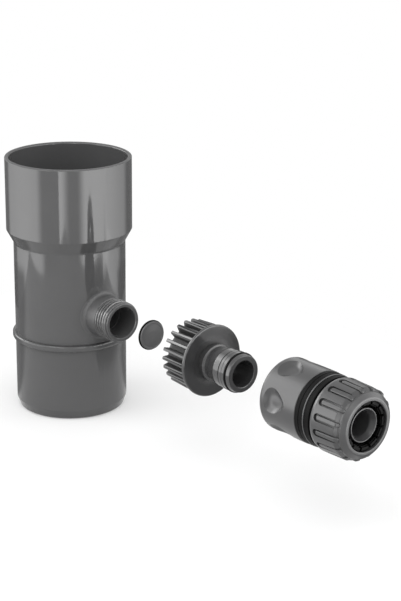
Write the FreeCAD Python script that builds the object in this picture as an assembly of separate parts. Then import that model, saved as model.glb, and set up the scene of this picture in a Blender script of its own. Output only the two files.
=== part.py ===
# Rainwater diverter for a round downpipe, shown pulled apart along its side outlet.
# Millimetres. Origin at the centre of the spigot's lower end, +Z up, +X along the outlet.

import FreeCAD
import Part
import math
import os

# Small gaps between pieces
TOUCH_GAP = 0.05
RUNNING_GAP = 0.1
LOOSE_GAP = 0.3

# Body: socket, cone, pipe and spigot
BODY_HEIGHT = 166.0
SOCKET_R = 40.4
PIPE_R = 36.0
WALL = 2.7
CONE_LOW_Z = 111.0
CONE_TOP_Z = 119.0
RIM_ROUND = 0.7
SPIGOT_TAPER_Z = 5.6
SPIGOT_TAPER_IN = 1.9
SPIGOT_ROUND = 1.4

# Body: bead round the pipe, with the collector's groove behind it
BEAD_Z = 48.4
BEAD_OUT = 1.9
BEAD_HEIGHT = 4.1
BEAD_TOP_ROUND = 1.0
BEAD_LOW_ROUND = 1.4
GROOVE_Z = 47.5
GROOVE_DEPTH = 0.9
GROOVE_HEIGHT = 2.7

# Body: side outlet
OUTLET_Z = 69.0
OUTLET_END_X = 56.7
OUTLET_NECK_R = 13.2
OUTLET_NECK_END = 44.2
OUTLET_NECK_EDGE = 0.3
OUTLET_NECK_CHAMFER = 0.6
OUTLET_FILLET = 1.8
THREAD_ROOT_R = 12.06
THREAD_CREST_R = 13.2
COLLAR_BACK = 3.2
COLLAR_LENGTH = 1.8
COLLAR_R = 13.1
NOSE_R = 12.4
OUTLET_BORE_R = 8.7
MOUTH_R = 10.05
MOUTH_DEPTH = 16.0

# Collector ring inside the pipe
RING_FLOOR = 2.5
UPSTAND_INNER_R = 25.5
UPSTAND_WALL = 2.0
UPSTAND_TOP_Z = 84.0
DRIP_LIP = 5.0

# Stop disc and its rubber
DISC_R = 8.9
DISC_THICK = 1.0
DISC_RIM_WIDTH = 1.2
DISC_STEP = 0.25
DISC_DOME = 0.3
SEAL_R = 9.5
SEAL_THICK = 1.2
STUD_R = 3.0
DISC_TRAVEL = 44.05

# Threaded adaptor: finned socket
ADAPTOR_TRAVEL = 79.0
SOCKET_DEPTH = 15.6
SOCKET_TUBE_WALL = 2.2
FIN_COUNT = 22
FIN_THICK = 2.1
FIN_BACK_R = 20.2
FIN_FRONT_R = 21.2
FIN_BEVEL = 0.45
FIN_LENGTH = 19.8
FLANGE_FRONT = 22.1
FLANGE_R = 21.9
FLANGE_THICK = 2.0
WASHER_THICK = 1.8
WASHER_BORE_R = 9.0

# Threaded adaptor: nipple, lengths counted from the flange's front face
HUB_LENGTH = 4.5
HUB_R = 10.8
HUB_RIM_LENGTH = 1.2
HUB_RIM_R = 11.35
NECK_R = 10.2
NECK_FLAT = 2.8
FLARE_END = 14.0
FLARE_R = 11.75
RIDGE_BACK = 19.4
RIDGE_FRONT = 21.4
RIDGE_R = 12.0
STEP_R = 11.8
O_RING_BACK = 23.9
O_RING_WIDTH = 1.6
O_RING_R = 12.2
O_RING_GROOVE_R = 10.4
NOSE_BACK_R = 11.7
NIPPLE_END = 28.1
NIPPLE_END_R = 11.15
NIPPLE_BORE_R = 8.08

# Connector: place and movement
CONNECTOR_TRAVEL = 61.1
SLEEVE_GAP = 0.5
SLEEVE_TRAVEL = 3.0
CLAW_TRAVEL = 1.8

# Connector sleeve, lengths counted from its back edge
SLEEVE_LENGTH = 36.2
SLEEVE_BACK_R = 21.3
SLEEVE_FRONT_R = 21.3
SLEEVE_BORE_R = 19.2
SLEEVE_ROUND = 2.8
SLEEVE_LIP_R = 20.95
GRIP_BACK = 29.5
GRIP_WIDTH = 5.9
GRIP_DEPTH = 0.95
GRIP_R = 21.05
CAM_LAND_R = 16.0
CAM_LAND_LENGTH = 1.6
THICK_WALL_R = 17.6
THICK_WALL_END = 22.5
DIMPLE_COUNT = 6
DIMPLE_TURN = 21.0
DIMPLE_BACK = 4.4
DIMPLE_FRONT = 20.9
DIMPLE_HALF_WIDTH = 6.8
DIMPLE_EGG = 0.4
DIMPLE_DEPTH = 2.4
DIMPLE_STEEPNESS = 5.0

# Connector claws
CLAW_COUNT = 3
CLAW_BACK = 2.2
CLAW_LENGTH = 2.2
CLAW_WIDTH = 7.0
CLAW_HEAD_WIDTH = 9.4
CLAW_HEAD_THICK = 2.6

# Connector core, lengths counted from the sleeve's back edge
CORE_BACK = 0.4
CORE_BORE_R = 12.35
CORE_BORE_END = 25.2
CORE_WALL = 2.25
CORE_BORE_LEAD = 0.8
STOP_RING_BACK = 1.0
STOP_RING_THICK = 0.7
STOP_RING_DEEP = 0.7
WAIST_BACK = 27.0
WAIST_R = 10.8
DISC_BACK = 37.0
SKIRT_BACK = 26.0
SKIRT_WALL = 1.9
BAND_BACK = 36.8
BAND_R = 20.7
BAND_THICK = 1.0
BAND_END = 40.1
WATERWAY_R = 8.0
CLAMP_THREAD_R = 16.2
CLAMP_THREAD_END = 50.0
HOSE_ROOM_R = 13.8
HOSE_ROOM_BACK = 43.2
TAIL_R = 9.85
TAIL_BORE_R = 7.4
TAIL_MOUTH_R = 9.15
TAIL_MOUTH_DEPTH = 3.6
TAIL_END = 61.9

# Clamp collet
COLLET_GAP = 0.3
COLLET_BASE = 3.2
COLLET_BASE_R = 16.0
COLLET_END = 63.4
COLLET_END_R = 13.95
COLLET_INNER_R = 12.1
COLLET_FINGERS = 12
COLLET_SLOT = 1.6
TOOTH_COUNT = 4
TOOTH_PITCH = 1.8
TOOTH_HEIGHT = 0.6

# Hose nut, lengths counted from the sleeve's back edge
NUT_BACK = 41.6
NUT_END = 64.9
NUT_BACK_R = 20.9
NUT_R = 21.3
NUT_LAND_END = 59.0
NUT_LAND_END_R = 20.6
NUT_VALLEY = 61.2
NUT_VALLEY_R = 18.9
NUT_SHOULDER = 62.4
NUT_SHOULDER_R = 19.2
NUT_FACE_R = 16.3
NUT_MOUTH_R = 14.3
BAR_COUNT = 15
BAR_TURN = 4.5
BAR_WIDTH = 2.5
BAR_BACK = 46.1
BAR_FALL = 60.6
BAR_END = 62.0
BAR_BACK_R = 21.3
BAR_FALL_R = 20.95
BAR_END_R = 19.5
BAR_ROUND = 0.5
POCKET_WIDTH = 4.5
POCKET_BACK = 44.3
POCKET_FLOOR_R = 19.9

# Places that follow from the sizes above
ADAPTOR_X = OUTLET_END_X + 2 * TOUCH_GAP + WASHER_THICK - SOCKET_DEPTH + ADAPTOR_TRAVEL
FLANGE_X = ADAPTOR_X + FLANGE_FRONT
CONNECTOR_X = FLANGE_X + SLEEVE_GAP + SLEEVE_TRAVEL + CONNECTOR_TRAVEL
STOP_DISC_X = OUTLET_END_X - MOUTH_DEPTH + TOUCH_GAP + DISC_TRAVEL
CORE_R = CORE_BORE_R + CORE_WALL
CAM_SLOPE = CLAW_TRAVEL / SLEEVE_TRAVEL
STOP_RING_FRONT = CORE_BACK + STOP_RING_BACK + STOP_RING_THICK
STOP_RING_R = SLEEVE_BORE_R - CAM_SLOPE * (STOP_RING_FRONT + SLEEVE_TRAVEL - CLAW_BACK) - LOOSE_GAP


def corner_path(points, place):
    """Closed wire through points (a, b, corner radius), set in space by place(a, b)."""
    corners = []
    count = len(points)
    for index, point in enumerate(points):
        here = FreeCAD.Vector(point[0], point[1], 0)
        if len(point) == 2:
            corners.append((here, here, None))
            continue
        before = points[index - 1]
        after = points[(index + 1) % count]
        to_before = FreeCAD.Vector(before[0], before[1], 0) - here
        to_after = FreeCAD.Vector(after[0], after[1], 0) - here
        to_before.normalize()
        to_after.normalize()
        half = math.acos(to_before.dot(to_after)) / 2
        reach = point[2] / math.tan(half)
        inward = to_before + to_after
        inward.normalize()
        middle = here + inward * (point[2] / math.sin(half) - point[2])
        corners.append((here + to_before * reach, here + to_after * reach, middle))
    edges = []
    for index, (start, end, middle) in enumerate(corners):
        if middle is not None:
            arc = Part.Arc(place(start.x, start.y), place(middle.x, middle.y), place(end.x, end.y))
            edges.append(arc.toShape())
        following = corners[(index + 1) % count][0]
        if end.distanceToPoint(following) > 1e-6:
            edges.append(Part.makeLine(place(end.x, end.y), place(following.x, following.y)))
    return Part.Wire(edges)


def turned_on_pipe(points):
    """Solid turned about the pipe's axis from points (radius, z, corner radius)."""
    wire = corner_path(points, lambda radius, z: FreeCAD.Vector(radius, 0, z))
    return Part.Face(wire).revolve(FreeCAD.Vector(0, 0, 0), FreeCAD.Vector(0, 0, 1), 360)


def turned_on_outlet(points, start_x=0.0):
    """Solid turned about the outlet's axis from points (length, radius, corner radius)."""
    wire = corner_path(points, lambda length, radius: FreeCAD.Vector(start_x + length, 0, OUTLET_Z + radius))
    return Part.Face(wire).revolve(FreeCAD.Vector(0, 0, OUTLET_Z), FreeCAD.Vector(1, 0, 0), 360)


def turn_about_outlet(shape, degrees):
    """Copy of a shape turned about the outlet's axis."""
    copy = shape.copy()
    copy.rotate(FreeCAD.Vector(0, 0, OUTLET_Z), FreeCAD.Vector(1, 0, 0), degrees)
    return copy


def copies_round_outlet(shape, count, first_turn=0.0):
    """Compound of evenly spaced copies about the outlet's axis."""
    return Part.makeCompound([turn_about_outlet(shape, first_turn + 360.0 * i / count) for i in range(count)])


def block_over_outlet(x_low, x_high, width, low, high):
    """Box over the outlet's axis, between two heights counted from it."""
    corner = FreeCAD.Vector(x_low, -width / 2, OUTLET_Z + low)
    return Part.makeBox(x_high - x_low, width, high - low, corner)


def rounded_bar(x_low, x_high, width, low, high):
    """Bar over the outlet's axis with half-round ends, seen from above."""
    half = width / 2
    base_z = OUTLET_Z + low
    corners = [(x_low, -half, half * 0.98), (x_high, -half, half * 0.98)]
    corners += [(x_high, half, half * 0.98), (x_low, half, half * 0.98)]
    wire = corner_path(corners, lambda x, y: FreeCAD.Vector(x, y, base_z))
    return Part.Face(wire).extrude(FreeCAD.Vector(0, 0, high - low))


def save(shape, node):
    """Write one piece to its own file."""
    solids = shape.Solids
    if len(solids) != 1 or not shape.isValid():
        raise ValueError(node + " is not one valid solid")
    solids[0].exportStep("parts/" + node + ".step")


def diverter_body():
    """Socket, cone, pipe, bead and outlet as one moulding."""
    cone_angle = math.atan2(SOCKET_R - PIPE_R, CONE_TOP_Z - CONE_LOW_Z)
    wall_shift = WALL * math.tan(cone_angle / 2)
    bead_low = BEAD_Z - BEAD_HEIGHT / 2
    bead_top = BEAD_Z + BEAD_HEIGHT / 2
    bead_r = PIPE_R + BEAD_OUT
    outside = turned_on_pipe([
        (0, 0),
        (PIPE_R - SPIGOT_TAPER_IN, 0, SPIGOT_ROUND),
        (PIPE_R, SPIGOT_TAPER_Z, SPIGOT_ROUND),
        (PIPE_R, bead_low),
        (bead_r, bead_low, BEAD_LOW_ROUND),
        (bead_r, bead_top, BEAD_TOP_ROUND),
        (PIPE_R, bead_top),
        (PIPE_R, CONE_LOW_Z, WALL),
        (SOCKET_R, CONE_TOP_Z, RIM_ROUND),
        (SOCKET_R, BODY_HEIGHT, RIM_ROUND),
        (0, BODY_HEIGHT),
    ])
    collar_x = OUTLET_END_X - COLLAR_BACK
    collar_end = collar_x + COLLAR_LENGTH
    outlet = turned_on_outlet([
        (0, 0),
        (0, OUTLET_NECK_R),
        (OUTLET_NECK_END, OUTLET_NECK_R, OUTLET_NECK_EDGE),
        (OUTLET_NECK_END + OUTLET_NECK_CHAMFER, THREAD_ROOT_R),
        (collar_x - COLLAR_R + THREAD_ROOT_R + 0.6, THREAD_ROOT_R),
        (collar_x, COLLAR_R, 0.4),
        (collar_end, COLLAR_R, 0.5),
        (collar_end + 0.2, NOSE_R - 0.15),
        (collar_end + 0.4, NOSE_R),
        (OUTLET_END_X, NOSE_R, 0.5),
        (OUTLET_END_X, 0),
    ])
    body = outside.fuse(outlet)
    saddle = []
    for edge in body.Edges:
        middle = edge.valueAt((edge.FirstParameter + edge.LastParameter) / 2)
        from_pipe = math.hypot(middle.x, middle.y) - PIPE_R
        from_outlet = math.hypot(middle.y, middle.z - OUTLET_Z) - OUTLET_NECK_R
        if abs(from_pipe) < 1e-3 and abs(from_outlet) < 1e-3:
            saddle.append(edge)
    body = body.makeFillet(OUTLET_FILLET, saddle)
    pipe_bore_r = PIPE_R - WALL
    spigot_bore_r = pipe_bore_r - SPIGOT_TAPER_IN
    groove_low = GROOVE_Z - GROOVE_HEIGHT / 2
    groove_top = GROOVE_Z + GROOVE_HEIGHT / 2
    inside = turned_on_pipe([
        (0, -1),
        (spigot_bore_r, -1),
        (spigot_bore_r, 0.5),
        (pipe_bore_r, SPIGOT_TAPER_Z + wall_shift, SPIGOT_ROUND),
        (pipe_bore_r, groove_low),
        (pipe_bore_r + GROOVE_DEPTH, groove_low),
        (pipe_bore_r + GROOVE_DEPTH, groove_top),
        (pipe_bore_r, groove_top),
        (pipe_bore_r, CONE_LOW_Z + wall_shift, WALL),
        (SOCKET_R - WALL, CONE_TOP_Z + wall_shift, RIM_ROUND),
        (SOCKET_R - WALL, BODY_HEIGHT - RIM_ROUND, RIM_ROUND),
        (SOCKET_R - WALL + 2 * RIM_ROUND, BODY_HEIGHT + RIM_ROUND),
        (0, BODY_HEIGHT + RIM_ROUND),
    ])
    mouth_x = OUTLET_END_X - MOUTH_DEPTH
    waterway = turned_on_outlet([
        (PIPE_R / 2, 0),
        (PIPE_R / 2, OUTLET_BORE_R),
        (mouth_x, OUTLET_BORE_R),
        (mouth_x, MOUTH_R),
        (OUTLET_END_X - 0.4, MOUTH_R, 0.3),
        (OUTLET_END_X + 0.2, MOUTH_R + 0.6),
        (OUTLET_END_X + 0.2, 0),
    ])
    return body.cut(inside).cut(waterway)


def collector_ring():
    """Ring-shaped trough held in the groove behind the bead, open in the middle."""
    rim_r = PIPE_R - WALL + GROOVE_DEPTH - LOOSE_GAP / 2
    floor_low = GROOVE_Z - RING_FLOOR / 2
    floor_top = GROOVE_Z + RING_FLOOR / 2
    upstand_r = UPSTAND_INNER_R + UPSTAND_WALL
    return turned_on_pipe([
        (UPSTAND_INNER_R, floor_low - DRIP_LIP, 0.6),
        (upstand_r, floor_low - DRIP_LIP, 0.6),
        (upstand_r, floor_low, 1.0),
        (rim_r, floor_low, 0.3),
        (rim_r, floor_top, 0.3),
        (upstand_r, floor_top, 1.5),
        (upstand_r, UPSTAND_TOP_Z, 0.9),
        (UPSTAND_INNER_R, UPSTAND_TOP_Z, 0.9),
    ])


def stop_disc():
    """Domed disc that blanks the outlet, with a stud through its rubber."""
    back = SEAL_THICK
    front = SEAL_THICK + DISC_THICK
    rim_inner = DISC_R - DISC_RIM_WIDTH
    face = front - DISC_STEP
    return turned_on_outlet([
        (TOUCH_GAP, 0),
        (TOUCH_GAP, STUD_R - TOUCH_GAP),
        (back, STUD_R - TOUCH_GAP),
        (back, DISC_R),
        (front, DISC_R, 0.35),
        (front, rim_inner, 0.1),
        (face, rim_inner - DISC_STEP),
        (face + DISC_DOME, STUD_R, 8.0),
        (face + DISC_DOME, 0),
    ], STOP_DISC_X)


def stop_disc_seal():
    """Rubber face of the stop disc, towards the outlet."""
    return turned_on_outlet([
        (0, STUD_R),
        (0, SEAL_R, 0.35),
        (SEAL_THICK, SEAL_R, 0.35),
        (SEAL_THICK, STUD_R),
    ], STOP_DISC_X)


def threaded_adaptor():
    """Finned socket that screws on the outlet, with the hose nipple in front."""
    hub = FLANGE_FRONT + HUB_LENGTH
    flange_back = FLANGE_FRONT - FLANGE_THICK
    socket_r = THREAD_CREST_R + 0.2
    tube_r = socket_r + SOCKET_TUBE_WALL
    ridge_back = FLANGE_FRONT + RIDGE_BACK
    ridge_front = FLANGE_FRONT + RIDGE_FRONT
    groove_back = FLANGE_FRONT + O_RING_BACK - TOUCH_GAP
    groove_front = FLANGE_FRONT + O_RING_BACK + O_RING_WIDTH + TOUCH_GAP
    nipple_end = FLANGE_FRONT + NIPPLE_END
    turned = turned_on_outlet([
        (0, socket_r + 0.5),
        (0, FIN_BACK_R, 0.5),
        (flange_back, FIN_FRONT_R),
        (flange_back, FLANGE_R, 0.7),
        (FLANGE_FRONT, FLANGE_R, 0.8),
        (FLANGE_FRONT, HUB_R),
        (hub - HUB_RIM_LENGTH, HUB_R, 0.3),
        (hub - HUB_RIM_LENGTH, HUB_RIM_R, 0.25),
        (hub, HUB_RIM_R, 0.35),
        (hub + 0.5, NECK_R, 0.4),
        (hub + 0.5 + NECK_FLAT, NECK_R, 3.0),
        (FLANGE_FRONT + FLARE_END, FLARE_R, 6.0),
        (ridge_back - 0.9, FLARE_R),
        (ridge_back - 0.6, FLARE_R - 0.6),
        (ridge_back - 0.2, FLARE_R - 0.6),
        (ridge_back, RIDGE_R, 0.2),
        (ridge_front, RIDGE_R, 0.4),
        (ridge_front + 0.3, STEP_R),
        (groove_back, STEP_R, 0.2),
        (groove_back, O_RING_GROOVE_R),
        (groove_front, O_RING_GROOVE_R),
        (groove_front, NOSE_BACK_R, 0.2),
        (nipple_end, NIPPLE_END_R, 0.5),
        (nipple_end, NIPPLE_BORE_R, 0.4),
        (SOCKET_DEPTH, NIPPLE_BORE_R),
        (SOCKET_DEPTH, socket_r),
        (0.5, socket_r),
    ], ADAPTOR_X)
    pitch = 2 * math.pi / FIN_COUNT
    half_fin = FIN_THICK / 2
    tip_r = FIN_BACK_R - 0.2
    outer_r = FLANGE_R + 1

    def beside_fin(radius, inset):
        # Point on a fin's side face, seen from the middle of the next slot.
        angle = pitch / 2 - math.asin((half_fin - inset) / radius)
        return radius * math.sin(angle), radius * math.cos(angle)

    side = [beside_fin(tube_r, 0), beside_fin(tip_r - FIN_BEVEL, 0), beside_fin(tip_r, FIN_BEVEL)]
    side.append(beside_fin(outer_r, FIN_BEVEL))
    mirrored = [(-y, z) for y, z in reversed(side)]
    slot_wire = corner_path(side + mirrored, lambda y, z: FreeCAD.Vector(ADAPTOR_X - 1, y, OUTLET_Z + z))
    slot = Part.Face(slot_wire).extrude(FreeCAD.Vector(FIN_LENGTH + 1, 0, 0))
    return turned.cut(copies_round_outlet(slot, FIN_COUNT))


def adaptor_washer():
    """Flat sealing washer on the floor of the adaptor's socket."""
    thread_gap = LOOSE_GAP / 2
    return turned_on_outlet([
        (0, WASHER_BORE_R, 0.2),
        (0, THREAD_CREST_R - thread_gap, 0.2),
        (WASHER_THICK, THREAD_CREST_R - thread_gap, 0.2),
        (WASHER_THICK, WASHER_BORE_R, 0.2),
    ], ADAPTOR_X + SOCKET_DEPTH - TOUCH_GAP - WASHER_THICK)


def nipple_o_ring():
    """O-ring in the nipple's groove."""
    low = O_RING_GROOVE_R + TOUCH_GAP
    round_by = O_RING_WIDTH * 0.45
    return turned_on_outlet([
        (0, low, round_by),
        (0, O_RING_R, round_by),
        (O_RING_WIDTH, O_RING_R, round_by),
        (O_RING_WIDTH, low, round_by),
    ], FLANGE_X + O_RING_BACK)


def connector_core():
    """Inner moulding of the hose connector: nipple bore, guide skirt, thread and hose tail."""
    ring_groove_back = CORE_BACK + STOP_RING_BACK - TOUCH_GAP
    ring_groove_end = CORE_BACK + STOP_RING_BACK + STOP_RING_THICK + TOUCH_GAP
    guide_r = SLEEVE_BORE_R - RUNNING_GAP
    core = turned_on_outlet([
        (CORE_BORE_END, WATERWAY_R),
        (CORE_BORE_END, CORE_BORE_R, 0.3),
        (CORE_BACK + CORE_BORE_LEAD, CORE_BORE_R, 0.3),
        (CORE_BACK, CORE_BORE_R + CORE_BORE_LEAD),
        (CORE_BACK, CORE_R, 0.2),
        (ring_groove_back, CORE_R),
        (ring_groove_back, CORE_R - STOP_RING_DEEP),
        (ring_groove_end, CORE_R - STOP_RING_DEEP),
        (ring_groove_end, CORE_R),
        (WAIST_BACK, CORE_R, 0.6),
        (WAIST_BACK + 1.5, WAIST_R, 0.6),
        (DISC_BACK, WAIST_R, 0.6),
        (DISC_BACK, guide_r - SKIRT_WALL, 0.6),
        (SKIRT_BACK, guide_r - SKIRT_WALL),
        (SKIRT_BACK, guide_r, 0.4),
        (BAND_BACK, guide_r),
        (BAND_BACK, BAND_R - BAND_THICK),
        (BAND_END, BAND_R - BAND_THICK),
        (BAND_END, CLAMP_THREAD_R),
        (CLAMP_THREAD_END, CLAMP_THREAD_R, 0.5),
        (CLAMP_THREAD_END, HOSE_ROOM_R, 0.4),
        (HOSE_ROOM_BACK, HOSE_ROOM_R, 0.5),
        (HOSE_ROOM_BACK, TAIL_R, 0.5),
        (TAIL_END, TAIL_R, 0.4),
        (TAIL_END, TAIL_MOUTH_R, 0.2),
        (TAIL_END - TAIL_MOUTH_DEPTH, TAIL_BORE_R, 2.0),
        (DISC_BACK + 3, TAIL_BORE_R),
        (DISC_BACK + 1, WATERWAY_R),
    ], CONNECTOR_X)
    window_back = CONNECTOR_X + CLAW_BACK - RUNNING_GAP
    window_end = CONNECTOR_X + CLAW_BACK + CLAW_LENGTH + RUNNING_GAP
    window = block_over_outlet(window_back, window_end, CLAW_WIDTH + 2 * RUNNING_GAP, WAIST_R, CORE_R + 2)
    return core.cut(copies_round_outlet(window, CLAW_COUNT))


def sleeve_stop_ring():
    """Snap ring at the core's mouth that stops the sleeve coming off."""
    back = CORE_BACK + STOP_RING_BACK
    low = CORE_R - STOP_RING_DEEP + TOUCH_GAP
    return turned_on_outlet([
        (back, low),
        (back, STOP_RING_R, 0.15),
        (back + STOP_RING_THICK, STOP_RING_R, 0.15),
        (back + STOP_RING_THICK, low),
    ], CONNECTOR_X)


def core_band():
    """Soft band round the core, between sleeve and nut."""
    low = BAND_R - BAND_THICK + TOUCH_GAP
    return turned_on_outlet([
        (BAND_BACK, low),
        (BAND_BACK, BAND_R, 0.35),
        (BAND_END, BAND_R, 0.35),
        (BAND_END, low),
    ], CONNECTOR_X)


def claw_block():
    """One claw at the top of the core: stem, wider head and sloping top."""
    stem_low = CORE_BORE_R + RUNNING_GAP
    head_low = CORE_R + CLAW_TRAVEL + TOUCH_GAP
    head_top = head_low + CLAW_HEAD_THICK
    end = CLAW_BACK + CLAW_LENGTH
    ring = turned_on_outlet([
        (CLAW_BACK, stem_low),
        (CLAW_BACK, head_top),
        (end, head_top - CAM_SLOPE * CLAW_LENGTH),
        (end, stem_low),
    ], CONNECTOR_X)
    back_x = CONNECTOR_X + CLAW_BACK - 1
    end_x = CONNECTOR_X + end + 1
    stem = block_over_outlet(back_x, end_x, CLAW_WIDTH, 0, head_top + 1)
    head = block_over_outlet(back_x, end_x, CLAW_HEAD_WIDTH, head_low, head_top + 1)
    return ring.common(stem.fuse(head))


def dimple_tool():
    """Cutter for one finger dimple: an egg-shaped bowl with its narrow end to the nut, centred at the top."""
    half_length = (DIMPLE_FRONT - DIMPLE_BACK) / 2
    centre = (DIMPLE_FRONT + DIMPLE_BACK) / 2
    rows = []
    steps = 24
    reach = 1.35
    for i in range(steps + 1):
        along = reach * (2.0 * i / steps - 1)
        half_width = DIMPLE_HALF_WIDTH * (1 - DIMPLE_EGG * along)
        length = centre + half_length * along
        row = []
        for j in range(steps + 1):
            across = reach * 1.3 * DIMPLE_HALF_WIDTH * (2.0 * j / steps - 1)
            # One on the egg's outline, none at its middle.
            outward = math.hypot(along, across / half_width) ** DIMPLE_STEEPNESS
            radius = SLEEVE_BACK_R + DIMPLE_DEPTH * (outward - 1) / (outward + 1)
            angle = across / SLEEVE_BACK_R
            y = radius * math.sin(angle)
            z = OUTLET_Z + radius * math.cos(angle)
            row.append(FreeCAD.Vector(CONNECTOR_X + length, y, z))
        rows.append(row)
    surface = Part.BSplineSurface()
    surface.interpolate(rows)
    return surface.toShape().extrude(FreeCAD.Vector(0, 0, SLEEVE_BACK_R / 2))


def locking_sleeve():
    """Outer sleeve that presses the claws in, with finger dimples and a groove for the grip ring."""
    cam_back = CLAW_BACK
    cam_drop = SLEEVE_BORE_R - CAM_LAND_R
    cam_end = cam_back + cam_drop / CAM_SLOPE
    land_end = cam_end + CAM_LAND_LENGTH
    lip_end = CLAW_BACK - LOOSE_GAP
    lip_r = STOP_RING_R + LOOSE_GAP
    grip_end = GRIP_BACK + GRIP_WIDTH
    groove_r = GRIP_R - GRIP_DEPTH
    sleeve = turned_on_outlet([
        (0, lip_r, 0.4),
        (0, SLEEVE_BACK_R, SLEEVE_ROUND),
        (GRIP_BACK, SLEEVE_FRONT_R, 0.3),
        (GRIP_BACK, groove_r),
        (grip_end, groove_r),
        (grip_end, SLEEVE_LIP_R, 0.15),
        (SLEEVE_LENGTH, SLEEVE_LIP_R, 0.25),
        (SLEEVE_LENGTH, SLEEVE_BORE_R, 0.2),
        (THICK_WALL_END, SLEEVE_BORE_R),
        (THICK_WALL_END - SLEEVE_BORE_R + THICK_WALL_R, THICK_WALL_R, 0.5),
        (land_end + THICK_WALL_R - CAM_LAND_R, THICK_WALL_R, 0.5),
        (land_end, CAM_LAND_R, 0.3),
        (cam_end, CAM_LAND_R),
        (cam_back, SLEEVE_BORE_R),
        (lip_end, SLEEVE_BORE_R),
        (lip_end, lip_r, 0.2),
    ], CONNECTOR_X)
    return sleeve.cut(copies_round_outlet(dimple_tool(), DIMPLE_COUNT, DIMPLE_TURN))


def sleeve_grip_ring():
    """Soft ring set flush in the sleeve's groove."""
    low = GRIP_R - GRIP_DEPTH + TOUCH_GAP
    middle = GRIP_BACK + GRIP_WIDTH / 2
    return turned_on_outlet([
        (GRIP_BACK + TOUCH_GAP, low),
        (GRIP_BACK + TOUCH_GAP, GRIP_R, 0.25),
        (middle - 0.3, GRIP_R, 0.15),
        (middle, GRIP_R - 0.35),
        (middle + 0.3, GRIP_R, 0.15),
        (GRIP_BACK + GRIP_WIDTH - TOUCH_GAP, GRIP_R, 0.25),
        (GRIP_BACK + GRIP_WIDTH - TOUCH_GAP, low),
    ], CONNECTOR_X)


def clamp_collet():
    """Slotted ring with inner teeth that the nut closes on the hose."""
    base_back = CLAMP_THREAD_END + COLLET_GAP
    base_end = base_back + COLLET_BASE
    teeth = []
    for i in range(TOOTH_COUNT):
        end = COLLET_END - 1.0 - TOOTH_PITCH * i
        teeth.append((end, COLLET_INNER_R))
        teeth.append((end, COLLET_INNER_R - TOOTH_HEIGHT))
        teeth.append((end - TOOTH_PITCH * 0.9, COLLET_INNER_R))
    ring = turned_on_outlet([
        (base_back, COLLET_INNER_R + 0.6),
        (base_back, COLLET_BASE_R, 0.4),
        (base_end, COLLET_BASE_R),
        (COLLET_END, COLLET_END_R, 0.3),
        (COLLET_END, COLLET_INNER_R, 0.3),
    ] + teeth + [
        (base_end, COLLET_INNER_R),
    ], CONNECTOR_X)
    slot_back = CONNECTOR_X + base_end + 0.8
    slot = block_over_outlet(slot_back, CONNECTOR_X + COLLET_END + 1, COLLET_SLOT, TAIL_R, COLLET_BASE_R + 1)
    return ring.cut(copies_round_outlet(slot, COLLET_FINGERS, 180.0 / COLLET_FINGERS))


def grip_bar():
    """One grip bar of the nut at the top, with its front end falling to the nut's valley."""
    root_r = NUT_VALLEY_R - 1
    bar = rounded_bar(CONNECTOR_X + BAR_BACK, CONNECTOR_X + BAR_END, BAR_WIDTH, root_r, BAR_BACK_R + 1)
    ring = turned_on_outlet([
        (BAR_BACK - 1, root_r - 1),
        (BAR_BACK - 1, BAR_BACK_R),
        (BAR_FALL, BAR_FALL_R, 3.0),
        (BAR_END + 1, BAR_END_R - (BAR_FALL_R - BAR_END_R) / (BAR_END - BAR_FALL)),
        (BAR_END + 1, root_r - 1),
    ], CONNECTOR_X)
    bar = bar.common(ring)
    crown = []
    for edge in bar.Edges:
        middle = edge.valueAt((edge.FirstParameter + edge.LastParameter) / 2)
        is_upright = abs(edge.tangentAt(edge.FirstParameter).z) > 0.9
        if middle.z - OUTLET_Z > root_r + BAR_ROUND and not is_upright:
            crown.append(edge)
    return bar.makeFillet(BAR_ROUND, crown)


def hose_nut():
    """Clamping nut with raised grip bars, each in its own pocket."""
    bore_r = CLAMP_THREAD_R + LOOSE_GAP
    collet_back = CLAMP_THREAD_END + COLLET_GAP + COLLET_BASE
    cone_end_r = COLLET_END_R + LOOSE_GAP
    nut = turned_on_outlet([
        (NUT_BACK, bore_r),
        (NUT_BACK, NUT_BACK_R, 0.4),
        (POCKET_BACK - 1, NUT_R),
        (NUT_LAND_END, NUT_LAND_END_R, 0.9),
        (NUT_VALLEY, NUT_VALLEY_R, 0.7),
        (NUT_SHOULDER, NUT_SHOULDER_R, 1.0),
        (NUT_END, NUT_FACE_R, 1.4),
        (NUT_END, NUT_MOUTH_R, 0.5),
        (COLLET_END + 0.2, cone_end_r),
        (collet_back + 0.4, bore_r),
    ], CONNECTOR_X)
    pocket = rounded_bar(CONNECTOR_X + POCKET_BACK, CONNECTOR_X + NUT_END + 5, POCKET_WIDTH,
                         POCKET_FLOOR_R, NUT_R + 2)
    nut = nut.cut(copies_round_outlet(pocket, BAR_COUNT, BAR_TURN))
    return nut.fuse(copies_round_outlet(grip_bar(), BAR_COUNT, BAR_TURN).Solids)


os.makedirs("parts", exist_ok=True)
save(diverter_body(), "diverter_body")
save(collector_ring(), "collector_ring")
save(stop_disc(), "stop_disc")
save(stop_disc_seal(), "stop_disc_seal")
save(threaded_adaptor(), "threaded_adaptor")
save(adaptor_washer(), "adaptor_washer")
save(nipple_o_ring(), "nipple_o_ring")
save(connector_core(), "connector_core")
save(core_band(), "core_band")
save(sleeve_stop_ring(), "sleeve_stop_ring")
save(locking_sleeve(), "locking_sleeve")
save(sleeve_grip_ring(), "sleeve_grip_ring")
for claw_number in range(CLAW_COUNT):
    claw = turn_about_outlet(claw_block(), 360.0 * claw_number / CLAW_COUNT)
    save(claw, "claw_" + str(claw_number + 1))
save(clamp_collet(), "clamp_collet")
save(hose_nut(), "hose_nut")
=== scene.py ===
import math

import bmesh
import bpy
from mathutils import Matrix, Vector


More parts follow.
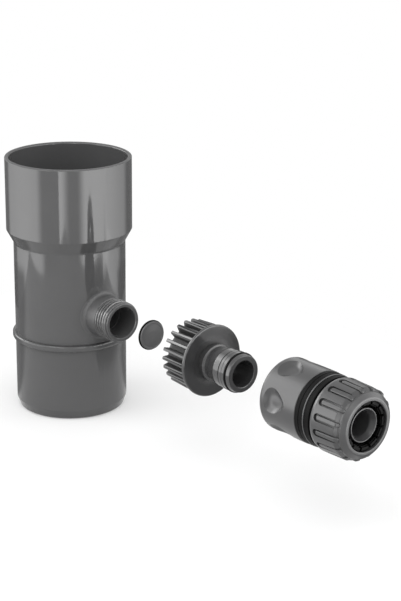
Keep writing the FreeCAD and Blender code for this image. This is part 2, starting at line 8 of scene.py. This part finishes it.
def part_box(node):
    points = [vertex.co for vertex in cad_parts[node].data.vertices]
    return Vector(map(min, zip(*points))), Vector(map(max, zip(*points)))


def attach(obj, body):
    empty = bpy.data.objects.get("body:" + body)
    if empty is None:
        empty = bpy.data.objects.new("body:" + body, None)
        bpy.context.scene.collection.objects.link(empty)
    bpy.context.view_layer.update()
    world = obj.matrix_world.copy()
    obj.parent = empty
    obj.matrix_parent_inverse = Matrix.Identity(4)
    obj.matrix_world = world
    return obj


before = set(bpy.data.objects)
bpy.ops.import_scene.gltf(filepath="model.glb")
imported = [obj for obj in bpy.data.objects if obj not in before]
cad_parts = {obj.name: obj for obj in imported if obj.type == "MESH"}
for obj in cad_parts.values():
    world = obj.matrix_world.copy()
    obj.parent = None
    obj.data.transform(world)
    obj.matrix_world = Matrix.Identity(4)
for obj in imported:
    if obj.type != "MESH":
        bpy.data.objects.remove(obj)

bl_info = {
    "name": "Rainwater Diverter Dressing",
    "version": (1, 0, 0),
    "blender": (4, 5, 0),
    "location": "View3D > Sidebar > Diverter",
    "description": "Adds the outlet's thread, the finishes and the studio to the rainwater diverter",
    "category": "Object",
}

PHOTO_HEIGHT = 601
FULL_TURN = 2 * math.pi

# Places taken from the frame
WASHER_LOW, WASHER_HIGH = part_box("adaptor_washer")
OUTLET_Z = (WASHER_LOW.z + WASHER_HIGH.z) / 2
OUTLET_END_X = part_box("diverter_body")[1].x
SOCKET_TOP_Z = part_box("diverter_body")[1].z

# The thread's ridge: half its width at foot and crest is a share of the pitch, depths are in metres
RIDGE_STEPS_PER_TURN = 72
RIDGE_FOOT = 0.46
RIDGE_CREST = 0.17
RIDGE_FOOT_DEPTH = 0.0002
RIDGE_END_DEPTH = 0.0001
RIDGE_RUN_IN_TURNS = 0.12

# Painted shade in recesses: the open share of a point's surroundings deep in one and outside it, within a
# reach in metres
RECESS_SHARES = (0.35, 0.95)
RECESS_REACH = 0.008
RECESS_DULLING = 0.7

# The skin's roughness runs between these shares of a finish's own
GLOSS_SPREAD = (0.88, 1.15)

# Dull places on the body. A pair goes from where the dulling starts to where it is full, in metres
RIM_DEPTH = 0.0007
RIM_RUN = 0.0004
RIM_DULLING = 0.9
NECK_RADII = (0.0160, 0.0150)
BORE_RADII = (0.0115, 0.0125)
PIPE_SIDE_X = (0.005, 0.02)
THREAD_SIDE_X = (0.0455, 0.0435)
NECK_DULLING = 0.3

# Depth of the floor and height of the cards on it, then the lamps' aim, distance and side, in metres
FLOOR_DEPTH = 0.0003
FLOOR_CARD_HEIGHT = 0.0002
FACE_CARD_HEIGHT = 0.0004
LAMP_AIM_X = 0.1
LAMP_DISTANCE = 1.2
LAMP_SIDE = 0.8


class ThreadSettings(bpy.types.PropertyGroup):
    """Sizes of the screw thread on the outlet"""

    root_radius: bpy.props.FloatProperty(
        name="Root Radius", description="Radius of the outlet between the ridges",
        default=0.01206, min=0.005, max=0.03, subtype="DISTANCE", unit="LENGTH", precision=5)
    crest_radius: bpy.props.FloatProperty(
        name="Crest Radius", description="Radius over the ridges",
        default=0.0132, min=0.005, max=0.03, subtype="DISTANCE", unit="LENGTH", precision=5)
    pitch: bpy.props.FloatProperty(
        name="Pitch", description="Distance from one ridge to the next",
        default=0.0023, min=0.0005, max=0.01, subtype="DISTANCE", unit="LENGTH", precision=5)
    turns: bpy.props.FloatProperty(
        name="Turns", description="Number of turns of the ridge", default=3.6, min=0.5, max=12.0)
    back_from_end: bpy.props.FloatProperty(
        name="Back from End", description="Distance from the outlet's end to the thread's start",
        default=0.0118, min=0.001, max=0.05, subtype="DISTANCE", unit="LENGTH", precision=5)


class PlasticSettings(bpy.types.PropertyGroup):
    """Colour of the moulded plastics and the rubber"""

    grey_colour: bpy.props.FloatVectorProperty(
        name="Pipe Grey", description="Anthracite of the pipe body, its thread and the stop disc",
        default=(0.081, 0.081, 0.082), size=3, min=0.0, max=1.0, subtype="COLOR")
    fitting_colour: bpy.props.FloatVectorProperty(
        name="Fitting Grey", description="Darker grey of the adaptor and the connector",
        default=(0.036, 0.036, 0.037), size=3, min=0.0, max=1.0, subtype="COLOR")
    black_colour: bpy.props.FloatVectorProperty(
        name="Black Plastic", description="Black of the collet, the claws and the sleeve's stop ring",
        default=(0.003, 0.003, 0.003), size=3, min=0.0, max=1.0, subtype="COLOR")
    rubber_colour: bpy.props.FloatVectorProperty(
        name="Rubber", description="Black of the seals, rings and bands",
        default=(0.005, 0.005, 0.005), size=3, min=0.0, max=1.0, subtype="COLOR")


class StageSettings(bpy.types.PropertyGroup):
    """Place of the camera, size of the floor and strength of the lights"""

    azimuth: bpy.props.FloatProperty(
        name="Azimuth", description="Heading of the camera, which at 0 looks along +Y",
        default=math.radians(50.35), subtype="ANGLE", unit="ROTATION")
    elevation: bpy.props.FloatProperty(
        name="Elevation", description="Angle at which the camera looks down",
        default=math.radians(18.19), subtype="ANGLE", unit="ROTATION")
    roll: bpy.props.FloatProperty(
        name="Roll", description="Tilt of the camera about its line of sight",
        default=math.radians(0.497), subtype="ANGLE", unit="ROTATION")
    position: bpy.props.FloatVectorProperty(
        name="Position", description="Place of the camera",
        default=(0.8523, -0.5963, 0.4106), size=3, subtype="XYZ", unit="LENGTH")
    focal_pixels: bpy.props.FloatProperty(
        name="Focal Length in Pixels", description="Focal length in pixels of the 401 by 601 picture",
        default=1673.8, min=100.0)
    floor_middle: bpy.props.FloatVectorProperty(
        name="Floor Middle", description="Middle of the square floor board",
        default=(0.077, -0.051), size=2, subtype="XYZ", unit="LENGTH")
    floor_side: bpy.props.FloatProperty(
        name="Floor Side", description="Side of the square floor board",
        default=0.588, min=0.4, max=5.0, subtype="DISTANCE", unit="LENGTH")
    room_light: bpy.props.FloatProperty(
        name="Room Light", description="Strength of the light from all round",
        default=0.95, min=0.0, max=2.0)
    key_light: bpy.props.FloatProperty(
        name="Key Light", description="Power of the soft lamp at the left, in watts",
        default=5.0, min=0.0, max=50.0)
    fill_light: bpy.props.FloatProperty(
        name="Fill Light", description="Power of the soft lamp at the right, in watts",
        default=3.0, min=0.0, max=50.0)
    front_light: bpy.props.FloatProperty(
        name="Front Light", description="Power of the soft lamp high above the camera, in watts",
        default=4.0, min=0.0, max=50.0)
    softbox_light: bpy.props.FloatProperty(
        name="Softbox Light", description="Brightness of the softboxes where the gloss mirrors them",
        default=5.25, min=0.0, max=20.0)


def new_object(name, mesh_builder):
    """Object at the origin whose mesh comes from a bmesh."""
    mesh = bpy.data.meshes.new(name)
    mesh_builder.to_mesh(mesh)
    mesh_builder.free()
    piece = bpy.data.objects.new(name, mesh)
    bpy.context.scene.collection.objects.link(piece)
    return piece


def smooth_shade(piece, sharp_angle=math.radians(35)):
    """Smooth shading with sharp edges kept over an angle."""
    piece.data.shade_smooth()
    piece.data.set_sharp_from_angle(angle=sharp_angle)


def between(ends, share):
    """Number at a share of the way from the first end to the second."""
    return ends[0] + (ends[1] - ends[0]) * share


def shade(colour, share):
    """Colour for a socket, at a share of its strength."""
    return (*[channel * share for channel in colour], 1.0)


def add_node(tree, kind, place, **values):
    """Shader node of a kind at a place in the editor, with its inputs set by name."""
    node = tree.nodes.new(kind)
    node.location = place
    for name, value in values.items():
        node.inputs[name.replace("_", " ")].default_value = value
    return node


def noise_over(tree, position, place, **values):
    """Output of a noise that lies in the piece's own coordinates."""
    noise = add_node(tree, "ShaderNodeTexNoise", place, **values)
    tree.links.new(position, noise.inputs["Vector"])
    return noise.outputs["Fac"]


def ramp_between(tree, place, value, ends, levels=(0.0, 1.0)):
    """Output that goes from one level to the other as the value goes between its two ends."""
    ramp = add_node(tree, "ShaderNodeMapRange", place, From_Min=ends[0], From_Max=ends[1],
                    To_Min=levels[0], To_Max=levels[1])
    tree.links.new(value, ramp.inputs["Value"])
    return ramp.outputs["Result"]


def combine(tree, place, operation, first, second, clamp=False):
    """Output of a math node that joins two values."""
    node = add_node(tree, "ShaderNodeMath", place)
    node.operation = operation
    node.use_clamp = clamp
    tree.links.new(first, node.inputs[0])
    tree.links.new(second, node.inputs[1])
    return node.outputs["Value"]


def mix_shaders(tree, place, share, first, second):
    """Output of a mix that goes from the first shader to the second."""
    mix = add_node(tree, "ShaderNodeMixShader", place)
    tree.links.new(share, mix.inputs["Fac"])
    tree.links.new(first, mix.inputs[1])
    tree.links.new(second, mix.inputs[2])
    return mix.outputs["Shader"]


def moulded_finish(name, colour, roughness, specular=0.5, mottle=0.04, grain=0.004, recess_shade=0.7):
    """Moulded material: a faint cloudy colour, uneven gloss, a fine skin, and recesses dulled and darkened
    with painted shade.
    """
    material = bpy.data.materials.new(name)
    material.use_nodes = True
    material.diffuse_color = (*colour, 1.0)
    tree = material.node_tree
    shader = tree.nodes["Principled BSDF"]
    shader.inputs["IOR"].default_value = 1.5
    shader.inputs["Specular IOR Level"].default_value = specular
    position = add_node(tree, "ShaderNodeTexCoord", (-1150, 0)).outputs["Object"]
    shelter = add_node(tree, "ShaderNodeAmbientOcclusion", (-1150, 500), Distance=RECESS_REACH)
    shelter.only_local = True
    shelter.samples = 8

    clouds = noise_over(tree, position, (-900, 250), Scale=38.0, Detail=4.0, Roughness=0.6)
    shades = add_node(tree, "ShaderNodeValToRGB", (-650, 250))
    for stop, end, share in zip(shades.color_ramp.elements, (0.3, 0.7), (1 - mottle, 1 + mottle)):
        stop.position = end
        stop.color = shade(colour, share)
    tree.links.new(clouds, shades.inputs["Fac"])
    # Painted shade: the colour darkens towards its recess share where little of the surroundings is open
    open_share = ramp_between(tree, (-900, 550), shelter.outputs["AO"], RECESS_SHARES)
    painted_shade = add_node(tree, "ShaderNodeMix", (-300, 350))
    painted_shade.data_type = "RGBA"
    painted_shade.inputs["A"].default_value = shade(colour, 1 - recess_shade)
    tree.links.new(open_share, painted_shade.inputs["Factor"])
    tree.links.new(shades.outputs["Color"], painted_shade.inputs["B"])
    tree.links.new(painted_shade.outputs["Result"], shader.inputs["Base Color"])

    scuffs = noise_over(tree, position, (-900, -50), Scale=140.0, Detail=3.0, Roughness=0.55)
    gloss_levels = [roughness * share for share in GLOSS_SPREAD]
    gloss = ramp_between(tree, (-650, -50), scuffs, (0.0, 1.0), gloss_levels)
    dull_levels = (recess_shade * RECESS_DULLING, 0.0)
    dull = ramp_between(tree, (-900, 850), shelter.outputs["AO"], RECESS_SHARES, dull_levels)
    total = combine(tree, (-300, 0), "ADD", gloss, dull)
    tree.links.new(total, shader.inputs["Roughness"])

    skin = noise_over(tree, position, (-900, -350), Scale=1600.0, Detail=2.0)
    relief = add_node(tree, "ShaderNodeBump", (-300, -350), Strength=grain, Distance=0.0004)
    tree.links.new(skin, relief.inputs["Height"])
    tree.links.new(relief.outputs["Normal"], shader.inputs["Normal"])
    return material


def dull_places(material):
    """Takes the gloss off the socket's sawn rim and round the outlet's neck."""
    tree = material.node_tree
    shader = tree.nodes["Principled BSDF"]
    position = tree.nodes["Texture Coordinate"].outputs["Object"]
    split = add_node(tree, "ShaderNodeSeparateXYZ", (-900, 1150))
    tree.links.new(position, split.inputs["Vector"])
    rim_start = SOCKET_TOP_Z - RIM_DEPTH
    rim = ramp_between(tree, (-650, 1150), split.outputs["Z"], (rim_start, rim_start + RIM_RUN),
                       (0.0, RIM_DULLING))

    off_axis = add_node(tree, "ShaderNodeVectorMath", (-900, 1450))
    off_axis.operation = "MULTIPLY"
    off_axis.inputs[1].default_value = (0.0, 1.0, 1.0)
    tree.links.new(position, off_axis.inputs[0])
    reach = add_node(tree, "ShaderNodeVectorMath", (-650, 1450))
    reach.operation = "DISTANCE"
    reach.inputs[1].default_value = (0.0, 0.0, OUTLET_Z)
    tree.links.new(off_axis.outputs["Vector"], reach.inputs[0])
    radius = reach.outputs["Value"]
    neck = ramp_between(tree, (-400, 1450), radius, NECK_RADII, (0.0, NECK_DULLING))
    limits = ((radius, BORE_RADII), (split.outputs["X"], PIPE_SIDE_X), (split.outputs["X"], THREAD_SIDE_X))
    for number, (value, ends) in enumerate(limits):
        inside = ramp_between(tree, (-400, 1200 - 250 * number), value, ends)
        neck = combine(tree, (-150 + 200 * number, 1450), "MULTIPLY", neck, inside)

    total = shader.inputs["Roughness"].links[0].from_socket
    for added in (rim, neck):
        total = combine(tree, (-100, 0), "ADD", total, added)
    tree.links.new(total, shader.inputs["Roughness"])


def give_finish(material, *node_names):
    """Puts one material on CAD nodes."""
    for node_name in node_names:
        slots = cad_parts[node_name].data.materials
        slots.clear()
        slots.append(material)


class DIVERTER_OT_finishes(bpy.types.Operator):
    """Give every CAD piece its moulded plastic or rubber"""

    bl_idname = "diverter.finishes"
    bl_label = "Finishes"

    def execute(self, context):
        plastic = context.scene.diverter_plastic
        # The recess setting of each finish sets how dark the painted shade in its recesses gets
        body = moulded_finish("body_plastic", plastic.grey_colour, roughness=0.07)
        dull_places(body)
        fitting = moulded_finish("fitting_plastic", plastic.fitting_colour, roughness=0.12, specular=0.75,
                                 recess_shade=1.0)
        connector = moulded_finish("connector_plastic", plastic.fitting_colour, roughness=0.29,
                                   specular=0.68, recess_shade=0.55)
        black = moulded_finish("black_plastic", plastic.black_colour, roughness=0.35, specular=0.08)
        rubber = moulded_finish("black_rubber", plastic.rubber_colour, roughness=0.5, specular=0.06,
                                grain=0.03)
        disc = moulded_finish("disc_plastic", plastic.grey_colour, roughness=0.32)
        give_finish(body, "diverter_body", "collector_ring")
        give_finish(disc, "stop_disc")
        give_finish(fitting, "threaded_adaptor")
        give_finish(connector, "locking_sleeve", "hose_nut", "connector_core")
        give_finish(black, "sleeve_stop_ring", "claw_1", "claw_2", "claw_3", "clamp_collet")
        give_finish(rubber, "stop_disc_seal", "adaptor_washer", "nipple_o_ring", "core_band",
                    "sleeve_grip_ring")
        return {"FINISHED"}


class DIVERTER_OT_outlet_thread(bpy.types.Operator):
    """Wind the screw thread round the outlet"""

    bl_idname = "diverter.outlet_thread"
    bl_label = "Outlet Thread"

    def execute(self, context):
        thread = context.scene.diverter_thread
        start_x = OUTLET_END_X - thread.back_from_end
        foot = thread.pitch * RIDGE_FOOT
        crest = thread.pitch * RIDGE_CREST
        sunk = thread.root_radius - RIDGE_FOOT_DEPTH
        profile = [(-foot, sunk), (-crest, thread.crest_radius), (crest, thread.crest_radius), (foot, sunk)]

        builder = bmesh.new()
        corners = [builder.verts.new((start_x + x, 0.0, OUTLET_Z + radius)) for x, radius in profile]
        builder.faces.new(corners)
        bmesh.ops.spin(
            builder, geom=builder.verts[:] + builder.edges[:] + builder.faces[:],
            cent=(0.0, 0.0, OUTLET_Z), axis=(1.0, 0.0, 0.0),
            dvec=(thread.pitch / RIDGE_STEPS_PER_TURN, 0.0, 0.0), angle=FULL_TURN * thread.turns,
            steps=round(thread.turns * RIDGE_STEPS_PER_TURN), use_duplicate=False)
        bmesh.ops.recalc_face_normals(builder, faces=builder.faces[:])
        self.sink_ends(builder, thread, start_x)
        self.order_faces(builder)

        piece = new_object("outlet_thread", builder)
        smooth_shade(piece)
        grey = context.scene.diverter_plastic.grey_colour
        finish = moulded_finish("thread_plastic", grey, roughness=0.16, specular=1.0, recess_shade=1.0)
        piece.data.materials.append(finish)
        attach(piece, "diverter")
        return {"FINISHED"}

    def sink_ends(self, builder, thread, start_x):
        """Lets both ends of the ridge sink into the outlet over a few steps."""
        for vertex in builder.verts:
            arm = Vector((0.0, vertex.co.y, vertex.co.z - OUTLET_Z))
            # The angle gives the part of a turn, and the place along the outlet the whole turns
            part_turn = math.atan2(-arm.y, arm.z) % FULL_TURN / FULL_TURN
            turn = round((vertex.co.x - start_x) / thread.pitch - part_turn) + part_turn
            run_in = min(turn, thread.turns - turn) / RIDGE_RUN_IN_TURNS
            if arm.length > thread.root_radius and run_in < 1.0:
                height = (arm.length - thread.root_radius) * max(run_in, 0.0)
                arm.length = thread.root_radius - RIDGE_END_DEPTH + height
                vertex.co.y = arm.y
                vertex.co.z = OUTLET_Z + arm.z

    def order_faces(self, builder):
        """Puts the ridge's faces in the same order in every run."""
        builder.verts.index_update()
        count = len(builder.verts)

        def rank(face):
            numbers = [vertex.index for vertex in face.verts]
            return min(numbers) * count + max(numbers)
        builder.faces.sort(key=rank)


def fade_curve(tree, place, value, stops):
    """Output that eases through stops, each a position and a level."""
    curve = add_node(tree, "ShaderNodeValToRGB", place)
    curve.color_ramp.interpolation = "EASE"
    elements = curve.color_ramp.elements
    for number, (position, level) in enumerate(stops):
        element = elements[number] if number < len(elements) else elements.new(position)
        element.position = position
        element.color = (level, level, level, 1.0)
    tree.links.new(value, curve.inputs["Fac"])
    return curve.outputs["Color"]


def card_glow(name, side_fades, top_fade, strength, cover):
    """Material that glows as far as the card covers, and clears towards its sides and top."""
    material = bpy.data.materials.new(name)
    material.use_nodes = True
    tree = material.node_tree
    tree.nodes.remove(tree.nodes["Principled BSDF"])
    card_map = add_node(tree, "ShaderNodeUVMap", (-900, 0))
    split = add_node(tree, "ShaderNodeSeparateXYZ", (-700, 0))
    tree.links.new(card_map.outputs["UV"], split.inputs["Vector"])
    side_stops = ((0.0, 0.0), (side_fades[0], 1.0), (1.0 - side_fades[1], 1.0), (1.0, 0.0))
    top_stops = ((0.0, cover), (1.0 - top_fade, cover), (1.0, 0.0))
    across = fade_curve(tree, (-500, 0), split.outputs["X"], side_stops)
    upwards = fade_curve(tree, (-500, -300), split.outputs["Y"], top_stops)
    shown = combine(tree, (-200, 0), "MULTIPLY", across, upwards)
    clear = add_node(tree, "ShaderNodeBsdfTransparent", (-200, -200))
    glow = add_node(tree, "ShaderNodeEmission", (-200, -350), Strength=strength)
    surface = mix_shaders(tree, (50, 0), shown, clear.outputs["BSDF"], glow.outputs["Emission"])
    tree.links.new(surface, tree.nodes["Material Output"].inputs["Surface"])
    return material


def gloss_card(name, point_at, side_fades, top_fade, strength, cover=1.0):
    """Bright or dark card that only the gloss shows. Its points come from how far along
    and how far up they lie, and the fades are shares of the card."""
    builder = bmesh.new()
    builder.loops.layers.uv.new("UVMap")
    bmesh.ops.create_grid(builder, x_segments=48, y_segments=12, size=0.5, calc_uvs=True)
    for vertex in builder.verts:
        vertex.co = point_at(vertex.co.x + 0.5, vertex.co.y + 0.5)
    panel = new_object(name, builder)
    panel.visible_camera = False
    panel.visible_diffuse = False
    panel.visible_shadow = False
    panel.visible_transmission = False
    panel.data.materials.append(card_glow(name, side_fades, top_fade, strength, cover))


def softbox(name, azimuths, tilts, side_fades, top_fade, strength, distance=1.4):
    """Card curved round the pipe, between two azimuths and two tilts in degrees."""
    def point_at(along, up):
        azimuth = math.radians(between(azimuths, along))
        height = distance * math.tan(math.radians(between(tilts, up)))
        return (distance * math.cos(azimuth), distance * math.sin(azimuth), height)
    gloss_card(name, point_at, side_fades, top_fade, strength)


def ring_card(name, azimuths, radii, side_fades, top_fade, strength, cover):
    """Sector of a ring that lies on the floor round the pipe."""
    def point_at(along, up):
        azimuth = math.radians(between(azimuths, along))
        radius = between(radii, up)
        return (radius * math.cos(azimuth), radius * math.sin(azimuth), FLOOR_CARD_HEIGHT)
    gloss_card(name, point_at, side_fades, top_fade, strength, cover)


def flat_card(name, foot, top, side_fades, top_fade, strength, cover=1.0):
    """Flat card between the two ends of its foot and the two ends of its top."""
    foot_left, foot_right = Vector(foot[0]), Vector(foot[1])
    top_left, top_right = Vector(top[0]), Vector(top[1])

    def point_at(along, up):
        return foot_left.lerp(foot_right, along).lerp(top_left.lerp(top_right, along), up)
    gloss_card(name, point_at, side_fades, top_fade, strength, cover)


def soft_lamp(name, azimuth, tilt, power):
    """Large square lamp that faces the row and isn't mirrored in the gloss."""
    data = bpy.data.lights.new(name, "AREA")
    data.shape = "SQUARE"
    data.size = LAMP_SIDE
    data.energy = power
    lamp = bpy.data.objects.new(name, data)
    aim = Vector((LAMP_AIM_X, 0.0, OUTLET_Z))
    heading, rise = math.radians(azimuth), math.radians(tilt)
    away = Vector((math.cos(heading) * math.cos(rise), math.sin(heading) * math.cos(rise), math.sin(rise)))
    facing = away.to_track_quat("Z", "Y").to_matrix().to_4x4()
    lamp.matrix_world = Matrix.Translation(aim + away * LAMP_DISTANCE) @ facing
    lamp.visible_glossy = False
    bpy.context.scene.collection.objects.link(lamp)


def white_to_the_eye(tree, lit, white, place):
    """Mixes in the white shader for camera, glossy and transmission rays."""
    rays = add_node(tree, "ShaderNodeLightPath", (place[0] - 800, place[1] + 300))
    total = rays.outputs["Is Camera Ray"]
    for number, kind in enumerate(("Is Glossy Ray", "Is Transmission Ray")):
        spot = (place[0] - 500 + 200 * number, place[1] + 300)
        total = combine(tree, spot, "ADD", total, rays.outputs[kind], clamp=True)
    return mix_shaders(tree, place, total, lit, white)


class DIVERTER_OT_stage(bpy.types.Operator):
    """Add the camera, the floor, the lights and the white background"""

    bl_idname = "diverter.stage"
    bl_label = "Stage"

    def execute(self, context):
        stage = context.scene.diverter_stage
        self.add_camera(context, stage)
        self.add_floor(stage)
        self.add_world(context, stage)
        self.add_softboxes(stage)
        self.add_dark_cards()
        self.add_face_card(stage)
        soft_lamp("key_lamp", azimuth=-120, tilt=35, power=stage.key_light)
        soft_lamp("fill_lamp", azimuth=50, tilt=30, power=stage.fill_light)
        soft_lamp("front_lamp", azimuth=-40, tilt=55, power=stage.front_light)
        context.scene.view_settings.view_transform = "Standard"
        return {"FINISHED"}

    def add_camera(self, context, stage):
        """Camera at the photo's viewpoint."""
        data = bpy.data.cameras.new("photo_camera")
        data.sensor_fit = "VERTICAL"
        data.sensor_height = 36.0
        data.lens = stage.focal_pixels * data.sensor_height / PHOTO_HEIGHT
        data.clip_start = 0.01
        data.clip_end = 50.0
        camera = bpy.data.objects.new("photo_camera", data)
        turn = Matrix.Rotation(stage.azimuth, 4, "Z")
        tip = Matrix.Rotation(math.pi / 2 - stage.elevation, 4, "X")
        roll = Matrix.Rotation(stage.roll, 4, "Z")
        camera.matrix_world = Matrix.Translation(stage.position) @ turn @ tip @ roll
        context.scene.collection.objects.link(camera)
        context.scene.camera = camera

    def add_floor(self, stage):
        """Matt floor board that keeps the soft shadow and looks nearly white."""
        builder = bmesh.new()
        bmesh.ops.create_grid(builder, x_segments=1, y_segments=1, size=stage.floor_side / 2)
        bmesh.ops.translate(builder, verts=builder.verts[:], vec=(*stage.floor_middle, -FLOOR_DEPTH))
        floor = new_object("pale_floor", builder)
        material = bpy.data.materials.new("pale_floor")
        material.use_nodes = True
        tree = material.node_tree
        matt = tree.nodes["Principled BSDF"]
        matt.inputs["Base Color"].default_value = (0.6, 0.6, 0.6, 1.0)
        matt.inputs["Roughness"].default_value = 0.9
        matt.inputs["Specular IOR Level"].default_value = 0.0
        glow = add_node(tree, "ShaderNodeEmission", (0, 250), Strength=0.28)
        both = add_node(tree, "ShaderNodeAddShader", (250, 150))
        tree.links.new(matt.outputs["BSDF"], both.inputs[0])
        tree.links.new(glow.outputs["Emission"], both.inputs[1])
        seen = white_to_the_eye(tree, matt.outputs["BSDF"], both.outputs["Shader"], (500, 0))
        tree.links.new(seen, tree.nodes["Material Output"].inputs["Surface"])
        floor.data.materials.append(material)

    def add_world(self, context, stage):
        """Even light from all round, with a white background."""
        world = bpy.data.worlds.new("studio")
        context.scene.world = world
        world.use_nodes = True
        tree = world.node_tree
        room = tree.nodes["Background"]
        room.inputs["Color"].default_value = (1.0, 1.0, 1.0, 1.0)
        room.inputs["Strength"].default_value = stage.room_light
        white = add_node(tree, "ShaderNodeBackground", (0, 250), Strength=1.0)
        white.inputs["Color"].default_value = (1.0, 1.0, 1.0, 1.0)
        seen = white_to_the_eye(tree, room.outputs["Background"], white.outputs["Background"], (250, 0))
        tree.links.new(seen, tree.nodes["World Output"].inputs["Surface"])

    def add_softboxes(self, stage):
        """Bright cards round the pipe, for the long highlights on it and on the row."""
        glow = stage.softbox_light
        softbox("left_softbox", azimuths=(-178, -82), tilts=(-22, 55), side_fades=(0.74, 0.15),
                top_fade=0.5, strength=glow * 0.75)
        softbox("strip_softbox", azimuths=(-53, -33), tilts=(-22, 40), side_fades=(0.02, 0.85),
                top_fade=0.4, strength=glow)
        softbox("right_softbox", azimuths=(-21, 100), tilts=(-15.5, 45), side_fades=(0.14, 0.75),
                top_fade=0.5, strength=glow)
        softbox("high_softbox", azimuths=(-110, -40), tilts=(45, 66), side_fades=(0.4, 0.4),
                top_fade=0.4, strength=glow)
        softbox("back_softbox", azimuths=(118, 160), tilts=(10, 34), side_fades=(0.25, 0.25),
                top_fade=0.3, strength=glow * 0.28)
        softbox("row_softbox", azimuths=(-187, -130), tilts=(14, 58), side_fades=(0.35, 0.35),
                top_fade=0.6, strength=glow * 1.15, distance=1.3)

    def add_dark_cards(self):
        """Cards that keep the silhouettes of the pipe and the row from mirroring white."""
        softbox("dark_card", azimuths=(78, 196), tilts=(-30, 28), side_fades=(0.14, 0.12),
                top_fade=0.35, strength=0.2, distance=1.5)
        ring_card("floor_card", azimuths=(66, 232), radii=(0.0375, 0.3575), side_fades=(0.11, 0.10),
                  top_fade=0.15, strength=0.1, cover=0.82)
        # Runs away from the pipe, edge on to the light that the pipe mirrors
        flat_card("row_card", foot=((0.07, 0.018, 0.001), (0.32, 0.162, 0.001)),
                  top=((0.07, 0.018, 0.101), (0.32, 0.162, 0.101)), side_fades=(0.15, 0.1),
                  top_fade=0.3, strength=0.1, cover=0.85)
        near, far = 0.03, 0.21
        flat_card("row_floor_card",
                  foot=((0.09, near, FLOOR_CARD_HEIGHT), (0.36, near, FLOOR_CARD_HEIGHT)),
                  top=((-0.03, far, FLOOR_CARD_HEIGHT), (0.36, far, FLOOR_CARD_HEIGHT)),
                  side_fades=(0.2, 0.1), top_fade=0.3, strength=0.1, cover=0.8)

    def add_face_card(self, stage):
        """Bright card on the floor, for the row's round end faces."""
        far, near = 0.30, 0.15
        flat_card("face_card", foot=((0.24, far, FACE_CARD_HEIGHT), (0.52, far, FACE_CARD_HEIGHT)),
                  top=((0.24, near, FACE_CARD_HEIGHT), (0.52, near, FACE_CARD_HEIGHT)),
                  side_fades=(0.2, 0.2), top_fade=0.7, strength=stage.softbox_light * 0.9)


class DIVERTER_PT_panel(bpy.types.Panel):
    """Lists the settings and the operators"""

    bl_label = "Rainwater Diverter"
    bl_idname = "DIVERTER_PT_panel"
    bl_space_type = "VIEW_3D"
    bl_region_type = "UI"
    bl_category = "Diverter"

    def draw(self, context):
        layout = self.layout
        for title, settings in (("Thread", context.scene.diverter_thread),
                                ("Plastics", context.scene.diverter_plastic),
                                ("Stage", context.scene.diverter_stage)):
            box = layout.box()
            box.label(text=title)
            for name in settings.__annotations__:
                box.prop(settings, name)
        for operator in OPERATORS:
            layout.operator(operator.bl_idname)


SETTINGS = {
    "diverter_thread": ThreadSettings,
    "diverter_plastic": PlasticSettings,
    "diverter_stage": StageSettings,
}
OPERATORS = (DIVERTER_OT_finishes, DIVERTER_OT_outlet_thread, DIVERTER_OT_stage)


def register():
    for group in SETTINGS.values():
        bpy.utils.register_class(group)
    for name, group in SETTINGS.items():
        setattr(bpy.types.Scene, name, bpy.props.PointerProperty(type=group))
    for operator in OPERATORS:
        bpy.utils.register_class(operator)
    bpy.utils.register_class(DIVERTER_PT_panel)


def unregister():
    bpy.utils.unregister_class(DIVERTER_PT_panel)
    for operator in reversed(OPERATORS):
        bpy.utils.unregister_class(operator)
    for name in SETTINGS:
        delattr(bpy.types.Scene, name)
    for group in reversed(list(SETTINGS.values())):
        bpy.utils.unregister_class(group)


def main():
    """Dresses the frame."""
    register()
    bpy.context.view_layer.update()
    bpy.ops.diverter.finishes()
    bpy.ops.diverter.outlet_thread()
    bpy.ops.diverter.stage()


if __name__ == "__main__":
    main()
